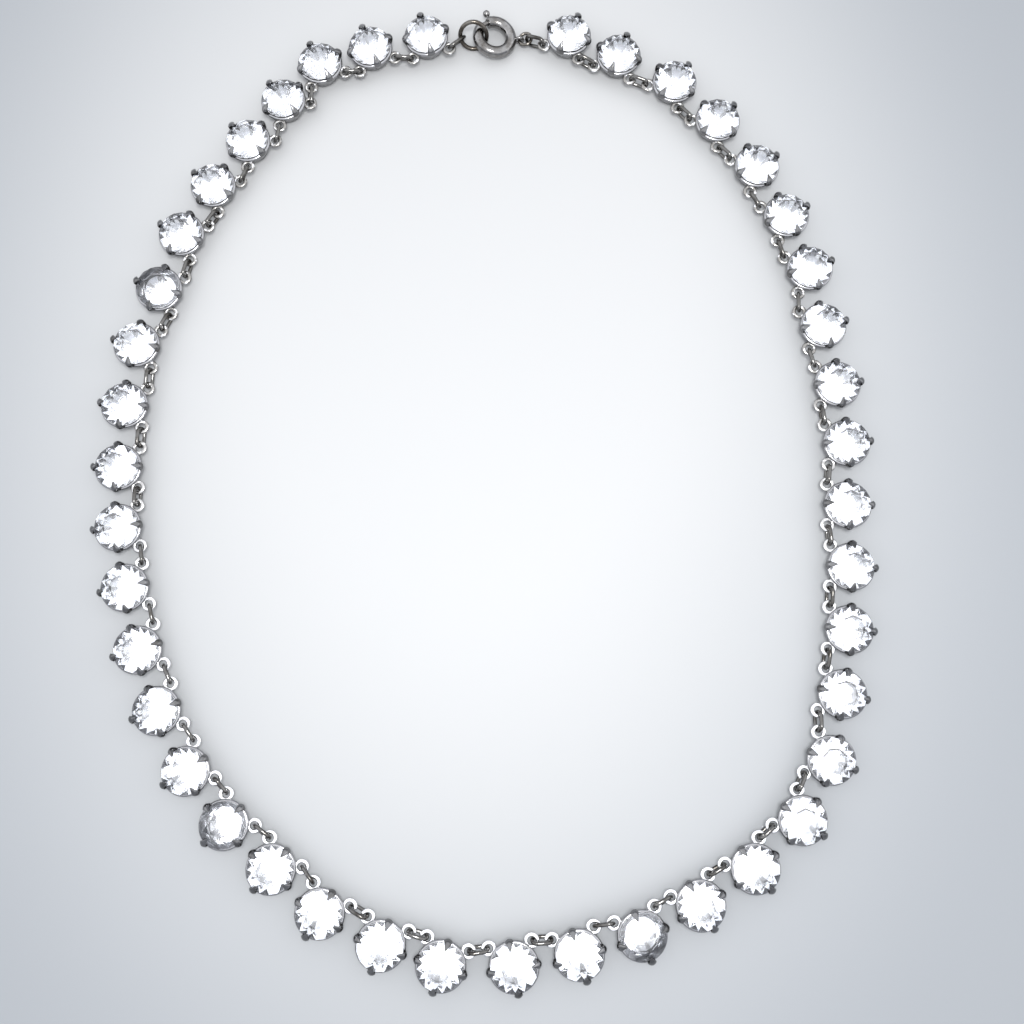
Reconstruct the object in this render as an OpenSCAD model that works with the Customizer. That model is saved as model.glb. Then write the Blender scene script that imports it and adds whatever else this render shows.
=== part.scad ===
// Riviere necklace of alike round stones in claw settings, closed by a spring ring.
// It lies on z = 0 with the clasp at the back (+Y), and all sizes are in millimetres.

/* [Stone] */
// Diameter over the corners of the girdle
stone_d = 6.4; // [6.2:0.05:6.4]
// Diameter of the flat table
table_d = 3.6; // [3.2:0.1:4]
// Height of the crown facets above the girdle
crown_h = 1.05; // [0.9:0.05:1.1]
// Thickness of the girdle
girdle_h = 0.15; // [0.1:0.05:0.2]
// Depth of the pointed back below the girdle
pavilion_h = 2.4; // [2.3:0.05:2.4]
// Height of the point above the setting's back
culet_z = 0.4; // [0.3:0.05:0.4]

/* [Setting] */
// Outer diameter of the rim that the stone sits in
rim_d = 6.9; // [6.8:0.05:7]
// Height of the rim above the back
rim_z = 2.6; // [2.5:0.05:2.6]
// Height of the rim's upright band
rim_band = 0.5; // [0.3:0.1:0.6]
// Outer diameter of the open back
back_d = 5; // [4.6:0.1:5.4]
// Thickness of the cup's wall
cup_wall = 0.37; // [0.3:0.01:0.38]
// Width of a claw at its shoulders, over the girdle
claw_w = 1.2; // [0.9:0.05:1.3]
// Width of a claw's narrow tip
claw_tip_w = 0.24; // [0.2:0.02:0.4]
// Thickness of a claw
claw_t = 0.36; // [0.3:0.02:0.4]
// Distance of a claw's tip from the stone's axis
claw_tip_r = 2.45; // [2.3:0.05:2.7]
// Gap between a claw and the stone
claw_gap = 0.15; // [0.12:0.01:0.2]

/* [Chain] */
// Distance between the two eyelets of one setting
eyelet_pitch = 5.9; // [5.8:0.05:6]
// Distance from the chain line out to the stone's axis
stone_out = 2.84; // [2.8:0.02:2.9]
// Height of the eyelets above the back
eyelet_z = 1.9; // [1.8:0.05:1.95]
// Diameter of an eyelet's hole
eyelet_hole = 1.1; // [1:0.05:1.2]
// Wire thickness of an eyelet
eyelet_wire = 0.5; // [0.4:0.02:0.5]
// Outer length of an oval link
link_length = 3.1; // [3.05:0.05:3.15]
// Outer width of an oval link
link_width = 1.76; // [1.7:0.02:1.8]
// Wire thickness of an oval link
link_wire = 0.4; // [0.36:0.02:0.4]
// Outer length of the bigger link at either end
end_link_length = 3.6; // [3.5:0.05:3.65]
// Outer width of the bigger link at either end
end_link_width = 2.1; // [2.05:0.05:2.15]

/* [Clasp] */
// Outer diameter of the spring ring
clasp_d = 6.96; // [6.9:0.02:7]
// Thickness of its tube
clasp_tube = 1.76; // [1.7:0.02:1.78]
// Diameter of the bore that the gate slides in
clasp_bore = 0.96; // [0.9:0.02:1]
// Thickness of the gate wire
gate_wire = 0.76; // [0.6:0.02:0.78]
// Diameter of the thumb ball
ball_d = 1.1; // [0.9:0.05:1.1]
// Outer diameter of the end ring
end_ring_d = 4.78; // [4.76:0.02:4.8]
// Wire thickness of the end ring
end_ring_wire = 0.6; // [0.5:0.02:0.62]
// Outer diameter of the tail ring
tail_ring_d = 2.4; // [2.3:0.05:2.5]
// Wire thickness of the tail ring
tail_ring_wire = 0.44; // [0.36:0.02:0.44]

/* [Hidden] */
$fn = 48;

// Where the chain passes the middle of every second setting, from the clasp round to the right
LIE_X = 0;
LIE_Y = 1;
lie = [
    [-8.5, 66],
    [-24.6, 61.4],
    [-34.5, 49],
    [-43.5, 34.5],
    [-49, 17.5],
    [-50.5, -0.5],
    [-48.5, -17.5],
    [-43, -34.5],
    [-33.5, -49],
    [-20.5, -60],
    [-4.5, -66.5],
    [12.5, -65],
    [28.5, -59],
    [42, -48.5],
    [48, -32.5],
    [50, -15],
    [50.5, 3],
    [48, 20.5],
    [43.5, 37.5],
    [34, 52.5],
    [20, 63],
    [4, 69.5],
];

// Settings that stand out of the chain's line, turn out of it or tip over more than the rest
SET_NO = 0;
SET_OUT = 1;
SET_TURN = 2;
SET_TIP = 3;
SET_ROLL = 4;
odd_settings = [
    [2, 0, 10, 0, 1],
    [3, 0, -5, 3, -2],
    [4, -0.5, -15, 1, 0],
    [5, 0, -8, 0, 1],
    [8, -0.4, 0, -4, 2],
    [15, 0, -5, 0, 0],
    [17, 0, 3, -3, -2],
    [18, -0.6, 0, 0, 0],
    [20, -0.2, 4, 0, 1],
    [21, 0, -9, 1, 0],
    [22, 0, 4, 0, 0],
    [23, 0, 4, 0, -1],
    [24, 0, 0, 3, 1.5],
    [28, 0.3, -3, 2, -1],
    [32, -0.4, 0, 0, 0],
    [34, 0, -4, 0, 1],
    [36, 0.4, 4, 0, 0],
    [38, 0, -4, 0, 0],
    [40, 0.6, -4, 1, 0],
    [41, -0.2, 7, 0, 0],
    [42, -0.3, -5, 0, 1],
];

// How far the links of a stretch of chain flop over from upright, by the link's number
FLOP_FROM = 0;
FLOP_TURN = 1;
link_flops = [
    [0, -22],
    [6, 20],
    [12, -19],
    [19, 24],
    [23, -20],
    [25, 12],
    [28, 22],
    [31, 2],
    [34, -20],
    [38, 18],
];

STONES = 2 * (len(lie) - 1);
FACETS = 8;
HALF = 180 / FACETS;

stone_r = stone_d / 2;
table_r = table_d / 2;
girdle_z = culet_z + pavilion_h;
crown_z = girdle_z + girdle_h;
table_z = crown_z + crown_h;
crown_slope = crown_h / (stone_r - table_r);
pavilion_slope = pavilion_h / stone_r;
crown_angle = atan(crown_slope);
star_r = 0.5 * (stone_r + table_r);
star_z = crown_z + (stone_r - star_r * cos(HALF)) * crown_slope;
lower_r = 0.22 * stone_r;
lower_z = girdle_z - (stone_r - lower_r * cos(HALF)) * pavilion_slope;

rim_r = rim_d / 2;
back_r = back_d / 2;
claw_in = stone_r + 0.12;
claw_out = claw_in + claw_t;
eyelet_r = (eyelet_hole + eyelet_wire) / 2;

clasp_r = (clasp_d - clasp_tube) / 2;
clasp_at = [1.45, 69.13, 1.65];
clasp_tilt = 10.5;
gap_from = 115;
gap_to = 151;
slot_from = 64;
slot_h = 0.6;
gate_from = 95;
gate_to = 158;
ball_at = 109;
ball_r = clasp_d / 2 + ball_d / 2 + 0.08;
stem_d = 0.4;
tail_eye_r = 0.6;
tail_eye_wire = 0.46;
tail_eye_x = clasp_d / 2 + tail_eye_r - 0.1;
end_ring_r = (end_ring_d - end_ring_wire) / 2;
end_ring_at = [-1.88, 69.09, 2.13];
end_ring_tilt = 59.7;
tail_ring_r = (tail_ring_d - tail_ring_wire) / 2;
tail_ring_tilt = -14;

LEFT = [for (k = [1:STONES / 2]) k];
RIGHT = [for (k = [STONES / 2 + 1:STONES]) k];

// A row of the lie table, carried straight on past either end
function lie_row(i) =
    i < 0 ? 2 * lie[0] - lie[1]
    : i >= len(lie) ? 2 * lie[len(lie) - 1] - lie[len(lie) - 2]
    : lie[i];

// The smooth line through the rows, and its direction, at setting k
function line_at(k) =
    let (
        u = (k - 1) / 2,
        i = floor(u),
        t = u - i,
        a = lie_row(i - 1),
        b = lie_row(i),
        c = lie_row(i + 1),
        d = lie_row(i + 2)
    )
    0.5 * (2 * b + (c - a) * t + (2 * a - 5 * b + 4 * c - d) * t * t
        + (3 * b - a - 3 * c + d) * t * t * t);

function line_heading(k) =
    let (step = line_at(k + 0.05) - line_at(k - 0.05))
    atan2(step[LIE_Y], step[LIE_X]);

// What the table says of setting k, or nothing out of the way
function odd(k, column) =
    let (rows = [for (row = odd_settings) if (row[SET_NO] == k) row[column]])
    len(rows) > 0 ? rows[0] : 0;

// Every setting also leans a little its own way, in steps, so that some stand dead flat
function lean(turn) = 0.6 * round(2 * sin(turn));
function heading(k) = line_heading(k) + odd(k, SET_TURN);
function tip(k) = odd(k, SET_TIP) + lean(97 * k);
function roll(k) = odd(k, SET_ROLL) + lean(61 * k + 40);
function stone_turn(k) = 7 * sin(77 * k);
function lift(k) = back_r * sqrt(1 - pow(cos(tip(k)) * cos(roll(k)), 2));

// Middle of the open back of setting k, outside the chain line
function foot(k) =
    let (p = line_at(k), along = line_heading(k), h = heading(k), out = odd(k, SET_OUT))
    [
        p[LIE_X] + out * sin(along) + stone_out * sin(h),
        p[LIE_Y] - out * cos(along) - stone_out * cos(h),
        lift(k),
    ];

// A point of the setting's own space, placed as rotate([x, y, z]) places it
function turned(p, angles) =
    let (
        y1 = p[1] * cos(angles[0]) - p[2] * sin(angles[0]),
        z1 = p[1] * sin(angles[0]) + p[2] * cos(angles[0]),
        x2 = p[0] * cos(angles[1]) + z1 * sin(angles[1]),
        z2 = z1 * cos(angles[1]) - p[0] * sin(angles[1])
    )
    [x2 * cos(angles[2]) - y1 * sin(angles[2]), x2 * sin(angles[2]) + y1 * cos(angles[2]), z2];

// Centre of an eyelet of setting k: side is -1 towards the first setting, 1 towards the last
function eyelet(k, side) =
    foot(k) + turned([side * eyelet_pitch / 2, stone_out, eyelet_z], [tip(k), roll(k), heading(k)]);

// The point of a ring's wire that lies nearest to another point
function hold(centre, r, angles, other) =
    let (
        u = turned([1, 0, 0], angles),
        v = turned([0, 1, 0], angles),
        x = (other - centre) * u,
        y = (other - centre) * v
    )
    centre + r * (x * u + y * v) / norm([x, y]);

function eyelet_hold(k, side, other) =
    hold(eyelet(k, side), eyelet_r, [tip(k), roll(k), heading(k)], other);

function flop(k) =
    let (rows = [for (row = link_flops) if (row[FLOP_FROM] <= k) row[FLOP_TURN]])
    rows[len(rows) - 1] + 4 * sin(83 * k);

tail_eye_point = clasp_at + turned([tail_eye_x, 0, 0], [0, clasp_tilt, 0]);
tail_ring_at = tail_eye_point + turned([tail_ring_r, 0, 0], [0, tail_ring_tilt, 0]);

// Round wire bent to a full ring
module ring(r, wire) {
    rotate_extrude() translate([r, 0]) circle(d = wire);
}

// Brilliant cut: table, stars, kites and upper halves above the girdle, lower halves and mains below
module brilliant() {
    function spoke(r, turn, z) = [r * cos(turn), r * sin(turn), z];
    corners = [
        for (k = [0:FACETS - 1]) spoke(table_r, 2 * HALF * k, table_z),
        for (k = [0:FACETS - 1]) spoke(star_r, 2 * HALF * k + HALF, star_z),
        for (k = [0:2 * FACETS - 1]) spoke(stone_r, HALF * k, crown_z),
        for (k = [0:2 * FACETS - 1]) spoke(stone_r, HALF * k, girdle_z),
        for (k = [0:FACETS - 1]) spoke(lower_r, 2 * HALF * k + HALF, lower_z),
        spoke(0, 0, culet_z),
    ];
    function table(k) = (k + FACETS) % FACETS;
    function star(k) = FACETS + (k + FACETS) % FACETS;
    function top(k) = 2 * FACETS + k % (2 * FACETS);
    function bottom(k) = 4 * FACETS + k % (2 * FACETS);
    function lower(k) = 6 * FACETS + (k + FACETS) % FACETS;
    culet = 7 * FACETS;
    facets = [
        [for (k = [FACETS - 1:-1:0]) table(k)],
        for (k = [0:FACETS - 1]) [table(k), table(k + 1), star(k)],
        for (k = [0:FACETS - 1]) [table(k), star(k), top(2 * k), star(k - 1)],
        for (k = [0:FACETS - 1]) [top(2 * k), star(k), top(2 * k + 1)],
        for (k = [0:FACETS - 1]) [top(2 * k + 1), star(k), top(2 * k + 2)],
        for (k = [0:2 * FACETS - 1]) [bottom(k), top(k), top(k + 1), bottom(k + 1)],
        for (k = [0:FACETS - 1]) [bottom(2 * k + 1), lower(k), bottom(2 * k)],
        for (k = [0:FACETS - 1]) [bottom(2 * k + 2), lower(k), bottom(2 * k + 1)],
        for (k = [0:FACETS - 1]) [culet, lower(k - 1), bottom(2 * k), lower(k)],
    ];
    polyhedron(corners, facets, convexity = 2);
}

// Open-backed cup, wider towards the rim
module cup() {
    rotate_extrude() polygon([
        [back_r - cup_wall, 0],
        [back_r, 0],
        [rim_r, rim_z - rim_band],
        [rim_r, rim_z],
        [rim_r - cup_wall, rim_z],
        [rim_r - cup_wall, rim_z - rim_band],
    ]);
}

// Height over the crown at radius r, a gap away from its facets
function over_crown(r, gap) =
    crown_z + (stone_r - r + gap * sin(crown_angle)) * crown_slope + gap * cos(crown_angle);

// One claw, leaf-shaped from above: up the outside of the cup and over the edge of the stone
module claw() {
    back = claw_gap + claw_t;
    foot_z = 0.3;
    inner_foot = back_r - cup_wall / 2;
    inner_tip = claw_tip_r + claw_gap * sin(crown_angle);
    outer_tip = claw_tip_r + back * sin(crown_angle);
    root_z = rim_z - rim_band;
    shoulder = stone_r - 0.05;
    intersection() {
        rotate_extrude() polygon([
            [inner_foot, foot_z],
            [back_r + claw_t / 2, foot_z],
            [claw_out, root_z],
            [claw_out, over_crown(claw_out, back)],
            [outer_tip, over_crown(outer_tip, back)],
            [inner_tip, over_crown(inner_tip, claw_gap)],
            [claw_in, over_crown(claw_in, claw_gap)],
            [claw_in, root_z],
        ]);
        linear_extrude(table_z) polygon([
            [back_r - cup_wall, -claw_tip_w / 2],
            [inner_tip, -claw_tip_w / 2],
            [shoulder, -claw_w / 2],
            [claw_out + 0.2, -claw_w / 4],
            [claw_out + 0.2, claw_w / 4],
            [shoulder, claw_w / 2],
            [inner_tip, claw_tip_w / 2],
            [back_r - cup_wall, claw_tip_w / 2],
        ]);
    }
}

module setting() {
    cup();
    for (turn = [0:90:270]) rotate(turn) claw();
    for (side = [-1, 1])
        translate([side * eyelet_pitch / 2, stone_out, eyelet_z]) ring(eyelet_r, eyelet_wire);
}

// Oval link in the XZ plane, long way along X
module oval_link(length, width) {
    straight = length - width;
    bend = (width - link_wire) / 2;
    rotate([90, 0, 0]) {
        for (side = [-1, 1]) {
            translate([side * straight / 2, 0, 0]) rotate(side * -90)
                rotate_extrude(angle = 180) translate([bend, 0]) circle(d = link_wire);
            translate([0, side * bend, 0]) rotate([0, 90, 0])
                cylinder(h = straight, d = link_wire, center = true);
        }
    }
}

// Oval link round the wires at a and b, flopped over by a turn about its length
module link_between(a, b, turn, length = link_length, width = link_width) {
    way = b - a;
    translate((a + b) / 2)
        rotate([turn, -asin(way[2] / norm(way)), atan2(way[1], way[0])]) oval_link(length, width);
}

module settings(numbers) {
    color("silver") for (k = numbers) translate(foot(k)) rotate([tip(k), roll(k), heading(k)]) setting();
}

module stone(k) {
    color("white", 0.8) translate(foot(k)) rotate([tip(k), roll(k), heading(k)])
        rotate(stone_turn(k)) brilliant();
}

module links(numbers) {
    color("dimgray") for (k = numbers) link_between(
        eyelet_hold(k, 1, eyelet(k + 1, -1)),
        eyelet_hold(k + 1, -1, eyelet(k, 1)),
        flop(k)
    );
}

module in_clasp() {
    translate(clasp_at) rotate([0, clasp_tilt, 0]) children();
}

// Hollow ring, open from gap_from to gap_to, with a slot for the ball's stem and an eye on its tail
module spring_ring() {
    color("darkgray") in_clasp() {
        difference() {
            rotate(gap_to) rotate_extrude(angle = 360 - gap_to + gap_from)
                translate([clasp_r, 0]) difference() {
                    circle(d = clasp_tube);
                    circle(d = clasp_bore);
                }
            rotate(slot_from) rotate_extrude(angle = gap_from - slot_from + 4)
                translate([clasp_r, -slot_h / 2]) square([clasp_tube, slot_h]);
        }
        translate([tail_eye_x, 0, 0]) rotate([90, 0, 0]) ring(tail_eye_r, tail_eye_wire);
    }
}

// Gate wire with its ball, which slides round about the ring's own axis
module trigger() {
    color("gray") in_clasp() {
        rotate(gate_from) rotate_extrude(angle = gate_to - gate_from)
            translate([clasp_r, 0]) circle(d = gate_wire);
        rotate(ball_at) {
            translate([clasp_r, 0, 0]) rotate([0, 90, 0]) cylinder(h = ball_r - clasp_r, d = stem_d);
            translate([ball_r, 0, 0]) sphere(d = ball_d);
        }
    }
}

module end_ring() {
    color("dimgray") translate(end_ring_at) rotate([end_ring_tilt, 0, 0]) ring(end_ring_r, end_ring_wire);
}

module end_link() {
    near = eyelet(1, -1);
    ring_hold = hold(end_ring_at, end_ring_r, [end_ring_tilt, 0, 0], near);
    color("dimgray")
        link_between(ring_hold, eyelet_hold(1, -1, ring_hold), -26, end_link_length, end_link_width);
}

module tail_ring() {
    color("dimgray") translate(tail_ring_at) rotate([0, tail_ring_tilt, 0])
        ring(tail_ring_r, tail_ring_wire);
}

module tail_link() {
    near = eyelet(STONES, 1);
    ring_hold = hold(tail_ring_at, tail_ring_r, [0, tail_ring_tilt, 0], near);
    color("dimgray")
        link_between(eyelet_hold(STONES, 1, ring_hold), ring_hold, 14, end_link_length, end_link_width);
}

settings(LEFT);  // settings_left
settings(RIGHT);  // settings_right
links(LEFT);  // links_left
/* links_right */ links([for (k = RIGHT) if (k < STONES) k]);
end_link();
end_ring();
spring_ring();
trigger();
tail_ring();
tail_link();
for (k = [1:STONES]) {
    name = str("stone_", k < 10 ? "0" : "", k);
    stone(k);
}
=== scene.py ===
import math

import bmesh
import bpy
from mathutils import Euler, Matrix, Vector


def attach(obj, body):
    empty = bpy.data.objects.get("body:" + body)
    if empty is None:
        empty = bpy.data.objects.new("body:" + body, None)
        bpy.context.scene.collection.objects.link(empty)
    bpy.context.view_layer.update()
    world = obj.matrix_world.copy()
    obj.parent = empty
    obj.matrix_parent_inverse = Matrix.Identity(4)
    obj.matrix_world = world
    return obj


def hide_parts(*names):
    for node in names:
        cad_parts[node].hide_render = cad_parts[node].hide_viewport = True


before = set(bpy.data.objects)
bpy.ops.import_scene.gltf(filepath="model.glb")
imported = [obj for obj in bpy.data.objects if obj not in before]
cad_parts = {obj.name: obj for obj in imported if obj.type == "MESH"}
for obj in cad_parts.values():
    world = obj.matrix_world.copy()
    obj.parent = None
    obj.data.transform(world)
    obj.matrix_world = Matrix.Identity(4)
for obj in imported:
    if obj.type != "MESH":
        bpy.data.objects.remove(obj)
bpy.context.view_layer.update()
MM = 0.001

# Where the chain passes every second setting, as in the part's source
LIE = [
    (-8.5, 66),
    (-24.6, 61.4),
    (-34.5, 49),
    (-43.5, 34.5),
    (-49, 17.5),
    (-50.5, -0.5),
    (-48.5, -17.5),
    (-43, -34.5),
    (-33.5, -49),
    (-20.5, -60),
    (-4.5, -66.5),
    (12.5, -65),
    (28.5, -59),
    (42, -48.5),
    (48, -32.5),
    (50, -15),
    (50.5, 3),
    (48, 20.5),
    (43.5, 37.5),
    (34, 52.5),
    (20, 63),
    (4, 69.5),
]

# Settings out of the line: number: (out, turn, tip, roll)
ODD = {
    2: (0, 10, 0, 1),
    3: (0, -5, 3, -2),
    4: (-0.5, -15, 1, 0),
    5: (0, -8, 0, 1),
    8: (-0.4, 0, -4, 2),
    15: (0, -5, 0, 0),
    17: (0, 3, -3, -2),
    18: (-0.6, 0, 0, 0),
    20: (-0.2, 4, 0, 1),
    21: (0, -9, 1, 0),
    22: (0, 4, 0, 0),
    23: (0, 4, 0, -1),
    24: (0, 0, 3, 1.5),
    28: (0.3, -3, 2, -1),
    32: (-0.4, 0, 0, 0),
    34: (0, -4, 0, 1),
    36: (0.4, 4, 0, 0),
    38: (0, -4, 0, 0),
    40: (0.6, -4, 1, 0),
    41: (-0.2, 7, 0, 0),
    42: (-0.3, -5, 0, 1),
}

# How far the links of a stretch of chain flop over from upright, by the first link's number
FLOPS = {0: -22, 6: 20, 12: -19, 19: 24, 23: -20, 25: 12, 28: 22, 31: 2, 34: -20, 38: 18}

# Stones whose foil has gone grey under the crown
GREY_STONES = (8, 17, 24)

# First and last of the stones along the bottom, whose tables have no painted dark reflection on
# the chamfer
FIRST_WITHOUT_ARC = 13
LAST_WITHOUT_ARC = 26

STONES = 42
STONE_OUT = 2.84
BACK_R = 2.5
RIM_R = 3.45
RIM_Z = 2.6
WALL = 0.37
EYELET_X = 2.95
EYELET_Z = 1.9
EYELET_R = 0.8
END_RING_R = 2.09
TAIL_RING_R = 0.98
CLASP_AT = Vector((1.45, 69.13, 1.65))
CLASP_TILT = 10.5
TAIL_EYE_X = 3.98
END_RING_AT = Vector((-1.88, 69.09, 2.13))
END_RING_TILT = 59.7
TAIL_RING_TILT = -14
END_LINK_FLOP = -26
TAIL_LINK_FLOP = 14

# Length, width and wire of the oval links, a little heavier than the solids
LINK = (3.24, 1.9, 0.56)
END_LINK = (3.76, 2.22, 0.58)
END_RING_WIRE = 0.66
TAIL_RING_WIRE = 0.5


def rows_point(i):
    if i < 0:
        return 2 * Vector(LIE[0]) - Vector(LIE[1])
    if i >= len(LIE):
        return 2 * Vector(LIE[-1]) - Vector(LIE[-2])
    return Vector(LIE[i])


def line_at(k):
    u = (k - 1) / 2
    i = math.floor(u)
    t = u - i
    a, b, c, d = (rows_point(i + j) for j in (-1, 0, 1, 2))
    return 0.5 * (
        2 * b + (c - a) * t + (2 * a - 5 * b + 4 * c - d) * t * t + (3 * b - a - 3 * c + d) * t**3
    )


def line_heading(k):
    step = line_at(k + 0.05) - line_at(k - 0.05)
    return math.atan2(step.y, step.x)


def sind(degrees):
    return math.sin(math.radians(degrees))


def lean(degrees):
    value = 2 * sind(degrees)
    return 0.6 * math.copysign(math.floor(abs(value) + 0.5), value)


def setting_place(k):
    """Where setting k stands: its own space, in millimetres, to the frame."""
    out, turn, tip, roll = ODD.get(k, (0, 0, 0, 0))
    tip = math.radians(tip + lean(97 * k))
    roll = math.radians(roll + lean(61 * k + 40))
    along = line_heading(k)
    heading = along + math.radians(turn)
    lift = BACK_R * math.sqrt(max(0, 1 - (math.cos(tip) * math.cos(roll)) ** 2))
    p = line_at(k)
    foot = Vector(
        (
            p.x + out * math.sin(along) + STONE_OUT * math.sin(heading),
            p.y - out * math.cos(along) - STONE_OUT * math.cos(heading),
            lift,
        )
    )
    return Matrix.Translation(foot) @ Euler((tip, roll, heading), "XYZ").to_matrix().to_4x4()


PLACES = {k: setting_place(k) for k in range(1, STONES + 1)}


def turned(degrees, axis):
    return Matrix.Rotation(math.radians(degrees), 4, axis)


def eyelet(k, side):
    return PLACES[k] @ Matrix.Translation((side * EYELET_X, STONE_OUT, EYELET_Z))


def flop(k):
    return FLOPS[max(first for first in FLOPS if first <= k)] + 4 * sind(83 * k)


def held(ring, r, other):
    """Point of a ring's wire that lies nearest to another point."""
    aim = ring.inverted() @ other
    aim.z = 0
    return ring @ (r * aim.normalized())


def between(a, b, turn):
    """Place of a link along X that holds the wires at a and b."""
    way = b - a
    angles = (math.radians(turn), -math.asin(way.z / way.length), math.atan2(way.y, way.x))
    return Matrix.Translation((a + b) / 2) @ Euler(angles, "XYZ").to_matrix().to_4x4()


def chain_link(k):
    near = eyelet(k, 1)
    far = eyelet(k + 1, -1)
    a = held(near, EYELET_R, far.translation)
    return between(a, held(far, EYELET_R, near.translation), flop(k))


END_RING = Matrix.Translation(END_RING_AT) @ turned(END_RING_TILT, "X")
TAIL_EYE = CLASP_AT + turned(CLASP_TILT, "Y") @ Vector((TAIL_EYE_X, 0, 0))
TAIL_RING_TURN = turned(TAIL_RING_TILT, "Y") @ Matrix.Translation((TAIL_RING_R, 0, 0))
TAIL_RING = Matrix.Translation(TAIL_EYE) @ TAIL_RING_TURN


def end_link_place():
    first = eyelet(1, -1)
    a = held(END_RING, END_RING_R, first.translation)
    return between(a, held(first, EYELET_R, a), END_LINK_FLOP)


def tail_link_place():
    last = eyelet(STONES, 1)
    b = held(TAIL_RING, TAIL_RING_R, last.translation)
    return between(held(last, EYELET_R, b), b, TAIL_LINK_FLOP)


# Shader maths as expressions


class Wire:
    """An output socket that can be added and multiplied."""

    def __init__(self, shader, socket):
        self.shader = shader
        self.socket = socket

    def sum(self, operation, a, b):
        return self.shader.node("ShaderNodeMath", {"operation": operation}, [a, b])

    def __add__(self, other):
        return self.sum("ADD", self, other)

    def __radd__(self, other):
        return self.sum("ADD", other, self)

    def __mul__(self, other):
        return self.sum("MULTIPLY", self, other)

    def __rmul__(self, other):
        return self.sum("MULTIPLY", other, self)


class Shader:
    def __init__(self, name):
        self.material = bpy.data.materials.new(name)
        self.material.use_nodes = True
        self.tree = self.material.node_tree
        self.bsdf = self.tree.nodes["Principled BSDF"]

    def put(self, socket, value):
        if isinstance(value, Wire):
            self.tree.links.new(value.socket, socket)
        else:
            socket.default_value = value

    def node(self, kind, settings, values, output=0):
        made = self.tree.nodes.new(kind)
        for name, value in settings.items():
            setattr(made, name, value)
        pairs = values.items() if isinstance(values, dict) else enumerate(values)
        for key, value in pairs:
            self.put(made.inputs[key], value)
        return Wire(self, made.outputs[output])

    def place(self):
        return self.node("ShaderNodeTexCoord", {}, {}, "Object")

    def noise(self, scale, detail=4, rough=0.6):
        return self.node(
            "ShaderNodeTexNoise",
            {},
            {"Vector": self.place(), "Scale": scale, "Detail": detail, "Roughness": rough},
            "Fac",
        )

    def steps(self, value, low, high):
        return self.node(
            "ShaderNodeMapRange",
            {"interpolation_type": "SMOOTHSTEP"},
            {"Value": value, "From Min": low, "From Max": high},
        )

    def vector(self, operation, *values, output=0):
        return self.node("ShaderNodeVectorMath", {"operation": operation}, values, output)

    def far(self, x, y, low, high, shrink=1.0):
        """From 0 to 1 as the distance to (x, y) grows from low to high."""
        way = self.vector("SUBTRACT", self.place(), (x, y, 0))
        way = self.vector("MULTIPLY", way, (1, shrink, 1))
        return self.steps(self.vector("LENGTH", way, output="Value"), low, high)

    def mix(self, mask, a, b):
        return self.node("ShaderNodeMix", {"data_type": "RGBA"}, {0: mask, 6: a, 7: b}, 2)

    def bump(self, height, distance, strength):
        return self.node(
            "ShaderNodeBump", {}, {"Height": height, "Distance": distance, "Strength": strength}
        )

    def finish(self, **values):
        for name, value in values.items():
            self.put(self.bsdf.inputs[name.replace("_", " ")], value)
        return self.material


def rgb(r, g, b):
    return (r, g, b, 1)


# Front of the loop, opposite the clasp, in metres; the eyelets' painted shade grows with the
# distance from it
LOOP_FRONT = (0, -0.07)


def plate(s, tarnish_and_shade, bright, dark, rough, spread, scratch):
    """Metal with a fine grain, bright where the darkening mask is 0 and dark where it is 1; the
    mask is tarnish on the cloudy metals and painted shade on the eyelets.
    """
    fine = s.noise(5200, 3, 0.7)
    return s.finish(
        Base_Color=s.mix(tarnish_and_shade, rgb(*bright), rgb(*dark)),
        Metallic=1.0,
        Roughness=rough + tarnish_and_shade * spread + fine * 0.06,
        Normal=s.bump(fine, scratch, 0.6),
    )


def metal(name, bright, dark, dull_from, dull_to, rough, spread, scratch):
    """Plated metal with cloudy tarnish."""
    s = Shader(name)
    tarnish_and_shade = s.steps(s.noise(420, 5, 0.65), dull_from, dull_to)
    return plate(s, tarnish_and_shade, bright, dark, rough, spread, scratch)


def eyelet_plate():
    """Bright plate, with painted shade in patches on the eyelets nearer to the clasp."""
    s = Shader("eyelet_silver")
    shade_patches = s.steps(s.noise(1500, 2, 0.5), 0.36, 0.48)
    # Painted shade: the eyelets darken in patches with the distance from the loop's front
    tarnish_and_shade = s.far(*LOOP_FRONT, 0.05, 0.103) * shade_patches
    return plate(s, tarnish_and_shade, (0.85, 0.85, 0.86), (0.27, 0.262, 0.25), 0.14, 0.1, 0.00001)


eyelet_metal = eyelet_plate()
# The cup's and claws' silver are darker copies of the eyelets' silver: painted shade on the sloped
# wall and claws, with cloudy tarnish over it
cup_metal = metal(
    "cup_silver", (0.32, 0.32, 0.33), (0.19, 0.19, 0.19), 0.5, 0.8, 0.18, 0.2, 0.00001
)
claw_metal = metal(
    "claw_silver", (0.2, 0.2, 0.204), (0.095, 0.093, 0.09), 0.42, 0.72, 0.05, 0.1, 0.000004
)
link_metal = metal(
    "link_tarnish", (0.15, 0.147, 0.142), (0.055, 0.051, 0.046), 0.4, 0.7, 0.02, 0.1, 0.000001
)
ring_metal = metal(
    "ring_tarnish", (0.17, 0.16, 0.146), (0.07, 0.06, 0.05), 0.36, 0.62, 0.06, 0.2, 0.000004
)
clasp_metal = metal(
    "clasp_plate", (0.27, 0.265, 0.262), (0.09, 0.082, 0.074), 0.36, 0.66, 0.06, 0.22, 0.000005
)


def crystal():
    s = Shader("clear_crystal")
    return s.finish(
        Base_Color=rgb(0.97, 0.98, 1.0), Roughness=0.0, IOR=1.58, Transmission_Weight=1.0
    )


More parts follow.
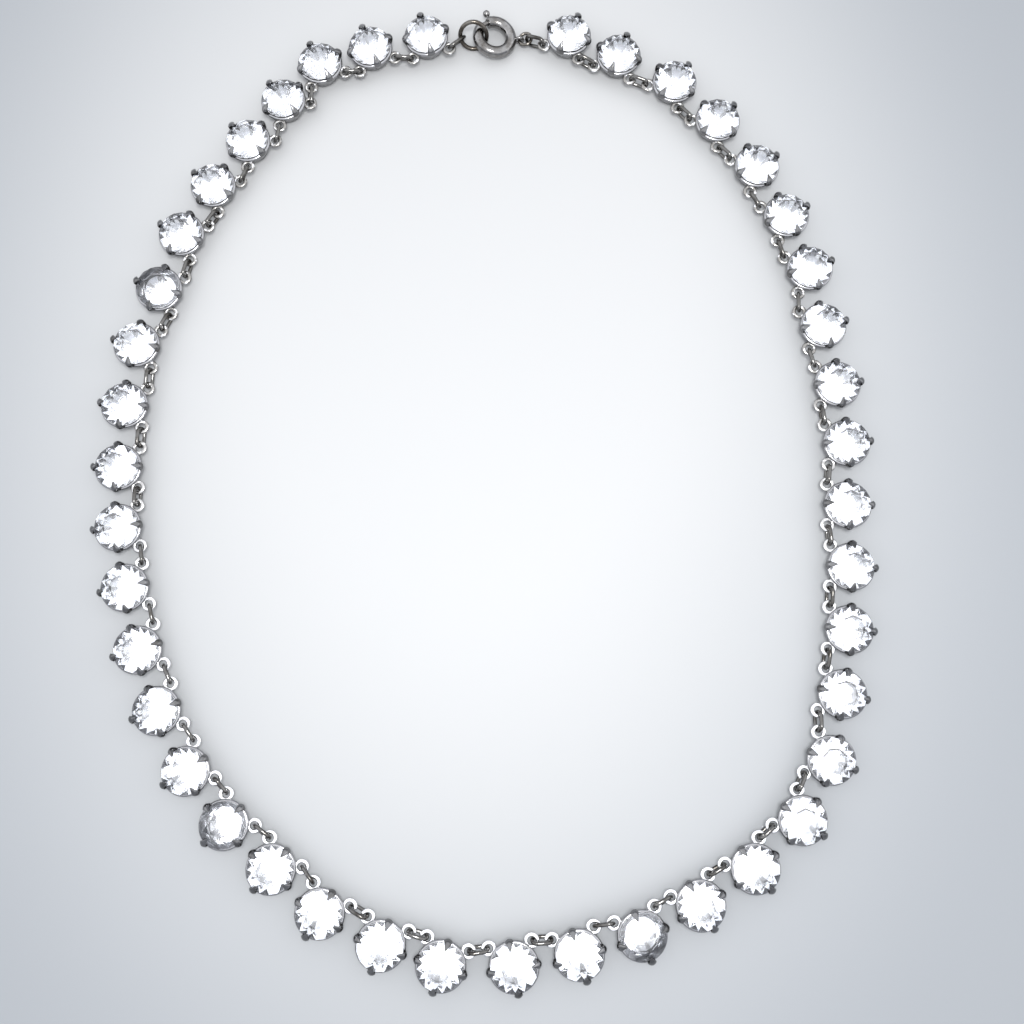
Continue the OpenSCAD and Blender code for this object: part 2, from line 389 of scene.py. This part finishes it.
def foil(name, bright, dark, rough):
    s = Shader(name)
    cloud = s.steps(s.noise(900, 2, 0.5), 0.45, 0.8)
    shade = s.mix(cloud, rgb(*bright), rgb(*dark))
    return s.finish(Base_Color=shade, Metallic=1.0, Roughness=rough)


crystal_glass = crystal()
foil_deep = foil("foil_deep", (0.98, 0.98, 0.985), (0.92, 0.93, 0.95), 0.26)
foil_back = foil("foil_back", (0.96, 0.965, 0.98), (0.84, 0.86, 0.89), 0.14)
foil_dull = foil("foil_dull", (0.19, 0.195, 0.205), (0.12, 0.12, 0.13), 0.25)
# Painted shade: foil_edge darkens the foil just under the girdle, standing for the shade of the
# girdle and the cup's inner wall
foil_edge = foil("foil_edge", (0.08, 0.082, 0.088), (0.045, 0.045, 0.05), 0.2)


# Painted reflection: dark glass on the chamfer faces towards +Y, a dark reflection painted onto
# the table's edge
def painted_reflection_arc():
    s = Shader("painted_reflection_arc")
    return s.finish(Base_Color=rgb(0.12, 0.122, 0.13), Roughness=0.35, IOR=1.58)


reflection_arc_glass = painted_reflection_arc()


# Pieces in bmesh


def mesh_of(name, bm):
    bmesh.ops.recalc_face_normals(bm, faces=bm.faces)
    mesh = bpy.data.meshes.new(name)
    bm.to_mesh(mesh)
    bm.free()
    return mesh


def copies(mesh, places, bm=None):
    """One bmesh with a copy of the mesh at each place."""
    bm = bm or bmesh.new()
    for spot in places:
        start = len(bm.verts)
        bm.from_mesh(mesh)
        bm.verts.ensure_lookup_table()
        bmesh.ops.transform(bm, matrix=spot, verts=bm.verts[start:])
    return bm


def piece(name, bm, materials, body, nodes, smooth=True):
    bmesh.ops.transform(bm, matrix=Matrix.Scale(MM, 4), verts=bm.verts)
    mesh = mesh_of(name, bm)
    for material in materials:
        mesh.materials.append(material)
    mesh.polygons.foreach_set("use_smooth", [smooth] * len(mesh.polygons))
    made = bpy.data.objects.new(name, mesh)
    bpy.context.scene.collection.objects.link(made)
    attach(made, body)
    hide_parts(*nodes)
    return made


def spun(outline, steps, turn=0.0):
    """Ring turned round Z from a closed outline of (radius, height) pairs."""
    bm = bmesh.new()
    corners = [bmesh.ops.create_vert(bm, co=(r, 0, z))["vert"][0] for r, z in outline]
    edges = [bm.edges.new(pair) for pair in zip(corners, corners[1:] + corners[:1])]
    bmesh.ops.rotate(bm, verts=corners, matrix=Matrix.Rotation(turn, 3, "Z"))
    bmesh.ops.spin(
        bm, geom=corners + edges, angle=math.tau, steps=steps, axis=(0, 0, 1), use_merge=True
    )
    return bm


def wire_outline(r, wire, sides=10):
    turns = [math.tau * i / sides for i in range(sides)]
    return [(r + wire / 2 * math.cos(t), wire / 2 * math.sin(t)) for t in turns]


# Stones

STONE_R = 3.2
TABLE_R = 1.8
CULET_R = 0.2
CULET_Z = 0.03
LOWER_R = 1.9
LOWER_Z = 1.48
GIRDLE_Z = 2.8
CROWN_Z = 2.95
TABLE_Z = 4.0

# Chamfer round the table, and the heights between which its faces have their middles
TABLE_CHAMFER = 0.12
CHAMFER_FROM = TABLE_Z - 0.06
CHAMFER_TO = TABLE_Z - 0.005

# Heights under which the painted shade of the foil's edge, the spikes and the deep part of the
# foil begin
FOIL_FROM = (GIRDLE_Z - 0.01, 2.2, LOWER_Z + 0.1)

# A face of the chamfer can take the painted dark reflection where its way out from the table's
# middle has this much +Y
REFLECTION_ARC_FROM = 0.64

# A face of the painted-shade edge is a spike instead where a sine of its number is over this
SPIKE_FROM = 0.6

# Slots of a stone, of which the foil of the deep part is 3
GLASS = 0
EDGE_FOIL = 1
SPIKE_FOIL = 2
# The chamfer faces with the painted dark reflection
REFLECTION_ARC = 4


def ring_of(bm, sides, r, z, turn=0.0):
    spot = Matrix.Translation((0, 0, z)) @ turned(turn, "Z")
    bmesh.ops.create_circle(bm, segments=sides, radius=r, matrix=spot)


def brilliant():
    """Cut stone about its own axis: glass above, foil under the girdle darkened by painted shade,
    and a slot for a painted dark reflection on the table's chamfer.
    """
    bm = bmesh.new()
    star_r = 0.5 * (STONE_R + TABLE_R)
    crown = (TABLE_Z - CROWN_Z) / (STONE_R - TABLE_R)
    star_z = CROWN_Z + (STONE_R - star_r * math.cos(math.radians(22.5))) * crown
    ring_of(bm, 8, TABLE_R, TABLE_Z)
    ring_of(bm, 8, star_r, star_z, 22.5)
    ring_of(bm, 16, STONE_R, CROWN_Z)
    ring_of(bm, 16, STONE_R, GIRDLE_Z)
    ring_of(bm, 16, LOWER_R, LOWER_Z, 11.25)
    ring_of(bm, 8, CULET_R, CULET_Z, 22.5)
    bmesh.ops.convex_hull(bm, input=bm.verts, use_existing_faces=False)
    bmesh.ops.dissolve_limit(bm, angle_limit=0.01, verts=bm.verts, edges=bm.edges)
    table = [edge for edge in bm.edges if min(vert.co.z for vert in edge.verts) > CHAMFER_TO]
    bmesh.ops.bevel(
        bm,
        geom=table,
        offset=TABLE_CHAMFER,
        segments=1,
        profile=0.5,
        affect="EDGES",
        material=-1,
    )
    for face in bm.faces:
        height = face.calc_center_median().z
        face.material_index = sum(height < z for z in FOIL_FROM)
        if CHAMFER_FROM < height < CHAMFER_TO:
            face.material_index = REFLECTION_ARC
    return mesh_of("brilliant", bm)


def in_reflection_arc(k, face):
    """Whether a face of a stone's chamfer takes the painted dark reflection: only those towards
    the clasp do.
    """
    way = face.calc_center_median() - PLACES[k] @ Vector((0, 0, TABLE_Z))
    return not FIRST_WITHOUT_ARC <= k <= LAST_WITHOUT_ARC and way.normalized().y >= REFLECTION_ARC_FROM


stone_mesh = brilliant()
for k, spot in PLACES.items():
    node = f"stone_{k:02d}"
    cut = copies(stone_mesh, [spot @ turned(7 * sind(77 * k), "Z")])
    for face in cut.faces:
        if face.material_index == EDGE_FOIL and sind(131 * face.index + 97 * k) > SPIKE_FROM:
            face.material_index = SPIKE_FOIL
        if face.material_index == REFLECTION_ARC and not in_reflection_arc(k, face):
            face.material_index = GLASS
    spikes = foil_dull if k in GREY_STONES else foil_back
    slots = [crystal_glass, foil_edge, spikes, foil_deep, reflection_arc_glass]
    piece(f"cut_{node}", cut, slots, "necklace", [node], smooth=False)


# Settings

# Outer face of a claw from foot to tip: radius, height, width and how far its sides fall back
CLAW = [
    (2.66, 0.3, 0.36, 0),
    (3.1, 1.3, 0.6, 0.06),
    (3.47, 2.02, 0.9, 0.14),
    (3.71, 2.42, 1.12, 0.2),
    (3.81, 2.76, 1.24, 0.24),
    (3.69, 3.04, 1.2, 0.2),
    (3.38, 3.28, 0.98, 0.08),
    (3.06, 3.48, 0.7, 0),
    (2.76, 3.69, 0.42, 0),
    (2.46, 3.89, 0.18, 0),
]
CLAW_T = 0.24

# Slots of a setting, of which the cup is 0
CLAWS = 1
EYELETS = 2


def claw():
    bm = bmesh.new()
    rows = len(CLAW)
    bmesh.ops.create_grid(bm, x_segments=rows - 1, y_segments=4, size=0.5)
    for vert in bm.verts:
        r, z, width, back = CLAW[round((vert.co.x + 0.5) * (rows - 1))]
        side = 2 * vert.co.y
        around = side * width / 2 / r
        r -= back * side * side
        vert.co = (r * math.cos(around), r * math.sin(around), z - 0.1 * side * side)
    bmesh.ops.solidify(bm, geom=bm.faces, thickness=-CLAW_T)
    rims = [edge for edge in bm.edges if edge.calc_face_angle(0) > 0.9]
    bmesh.ops.bevel(
        bm, geom=rims, offset=0.06, segments=2, profile=0.5, affect="EDGES", material=-1
    )
    for face in bm.faces:
        face.material_index = CLAWS
    return mesh_of("claw", bm)


def cup():
    outline = [
        (BACK_R - WALL, 0.04),
        (BACK_R - 0.04, 0),
        (BACK_R, 0.04),
        (RIM_R - 0.06, 2.05),
        (RIM_R, 2.15),
        (RIM_R, RIM_Z - 0.26),
        (RIM_R - 0.05, RIM_Z - 0.18),
        (RIM_R - WALL + 0.06, RIM_Z),
        (RIM_R - WALL, RIM_Z - 0.05),
        (RIM_R - WALL, 2.1),
    ]
    return mesh_of("cup", spun(outline, 48))


def flat_eyelet():
    """Round ring with a flattened face above and below."""
    half = [(0.27, -0.07), (0.27, 0.07), (0.17, 0.19)]
    outline = [(EYELET_R + x, z) for x, z in half] + [(EYELET_R - x, z) for x, z in reversed(half)]
    outline += [(EYELET_R - 0.17, -0.19), (EYELET_R + 0.17, -0.19)]
    bm = spun(outline, 28)
    for face in bm.faces:
        face.material_index = EYELETS
    return mesh_of("flat_eyelet", bm)


def setting():
    bm = copies(cup(), [Matrix.Identity(4)])
    copies(claw(), [turned(90 * i, "Z") for i in range(4)], bm)
    eyelets = [Matrix.Translation((side * EYELET_X, STONE_OUT, EYELET_Z)) for side in (-1, 1)]
    copies(flat_eyelet(), eyelets, bm)
    return mesh_of("setting", bm)


def side_of(k):
    return "left" if k <= STONES // 2 else "right"


setting_mesh = setting()
for side in ("left", "right"):
    bm = copies(setting_mesh, [spot for k, spot in PLACES.items() if side_of(k) == side])
    metals = [cup_metal, claw_metal, eyelet_metal]
    piece(f"claw_settings_{side}", bm, metals, "necklace", [f"settings_{side}"])


# Links and rings


def oval_link(length, width, wire):
    """Oval link in the XZ plane, its long way along X."""
    steps = 24
    bm = spun(wire_outline((width - wire) / 2, wire), steps, math.pi / steps)
    for vert in bm.verts:
        vert.co.x += math.copysign((length - width) / 2, vert.co.x)
    bmesh.ops.rotate(bm, verts=bm.verts, matrix=Matrix.Rotation(math.pi / 2, 3, "X"))
    return mesh_of("oval_link", bm)


def ring_mesh(r, wire):
    return mesh_of("ring", spun(wire_outline(r, wire, 14), 64))


chain_mesh = oval_link(*LINK)
for side in ("left", "right"):
    bm = copies(chain_mesh, [chain_link(k) for k in range(1, STONES) if side_of(k) == side])
    piece(f"oval_links_{side}", bm, [link_metal], "necklace", [f"links_{side}"])

for node, spot in (("end_link", end_link_place()), ("tail_link", tail_link_place())):
    bm = copies(oval_link(*END_LINK), [spot])
    piece(f"clasp_{node}", bm, [link_metal], "necklace", [node])

for node, r, wire, spot in (
    ("end_ring", END_RING_R, END_RING_WIRE, END_RING),
    ("tail_ring", TAIL_RING_R, TAIL_RING_WIRE, TAIL_RING),
):
    bm = copies(ring_mesh(r, wire), [spot])
    piece(f"clasp_{node}", bm, [ring_metal], "necklace", [node])

for name in ("spring_ring", "trigger"):
    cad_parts[name].data.materials.clear()
    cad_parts[name].data.materials.append(clasp_metal)


# Floor, light and camera

CAMERA_AIM = Vector((0.0042, -0.0071, 0.0019))
CAMERA_DISTANCE = 0.1407
CAMERA_TILT = 9.23
CAMERA_LENS = 34


def floor():
    """Floor with a painted falloff of light: a little darker outside the loop than inside, and
    lighter again far out, where it makes up for the lamps' falloff.
    """
    bm = bmesh.new()
    bmesh.ops.create_grid(bm, x_segments=1, y_segments=1, size=3)
    mesh = mesh_of("pale_floor", bm)
    made = bpy.data.objects.new("pale_floor", mesh)
    bpy.context.scene.collection.objects.link(made)
    s = Shader("pale_floor")
    # Painted shade: the floor darkens outside the loop, as the light falls off
    near = s.far(-0.0035, 0.026, 0.028, 0.094, 0.66)
    inside = rgb(0.374, 0.377, 0.379)
    outside = rgb(0.234, 0.247, 0.262)
    shade = s.mix(near, inside, outside)
    # Painted light: far out the floor is lighter, standing in for the lamps' light that falls off
    # there
    shade = s.mix(s.far(0, 0, 0.14, 1.1), shade, rgb(0.72, 0.73, 0.75))
    mottle = s.noise(260, 6, 0.7) * 0.05
    mesh.materials.append(s.finish(Base_Color=shade, Roughness=0.65 + mottle))


def lamp(name, place, aim, size, radiance):
    data = bpy.data.lights.new(name, "AREA")
    data.shape = "DISK"
    data.size = size
    data.energy = radiance * math.pi * math.pi * size * size / 4
    made = bpy.data.objects.new(name, data)
    bpy.context.scene.collection.objects.link(made)
    made.location = place
    made.rotation_euler = (Vector(aim) - Vector(place)).to_track_quat("-Z", "Y").to_euler()
    made.visible_camera = False


def sky():
    world = bpy.data.worlds.new("studio")
    bpy.context.scene.world = world
    world.use_nodes = True
    world.node_tree.nodes["Background"].inputs["Color"].default_value = rgb(0.87, 0.91, 1.0)
    world.node_tree.nodes["Background"].inputs["Strength"].default_value = 0.7


def camera():
    """Looks down at the necklace from a little towards its front."""
    tilt = math.radians(CAMERA_TILT)
    data = bpy.data.cameras.new("camera")
    data.lens = CAMERA_LENS
    data.sensor_width = 36
    data.clip_start = 0.005
    data.clip_end = 20
    made = bpy.data.objects.new("camera", data)
    bpy.context.scene.collection.objects.link(made)
    back = Vector((0, -math.sin(tilt), math.cos(tilt)))
    made.location = CAMERA_AIM + CAMERA_DISTANCE * back
    made.rotation_euler = (tilt, 0, 0)
    bpy.context.scene.camera = made


floor()
sky()
lamp("softbox", (0, 0.1, 0.26), (0, 0.1, 0), 1.0, 1.05)
lamp("left_card", (-0.7, 0.1, 0.16), (0, 0, 0), 0.7, 0.9)
lamp("right_card", (0.7, 0.1, 0.16), (0, 0, 0), 0.7, 0.9)
lamp("flash", (0.01, -0.02, 0.2), (0, 0, 0), 0.05, 60)
camera()
bpy.context.scene.view_settings.view_transform = "Standard"
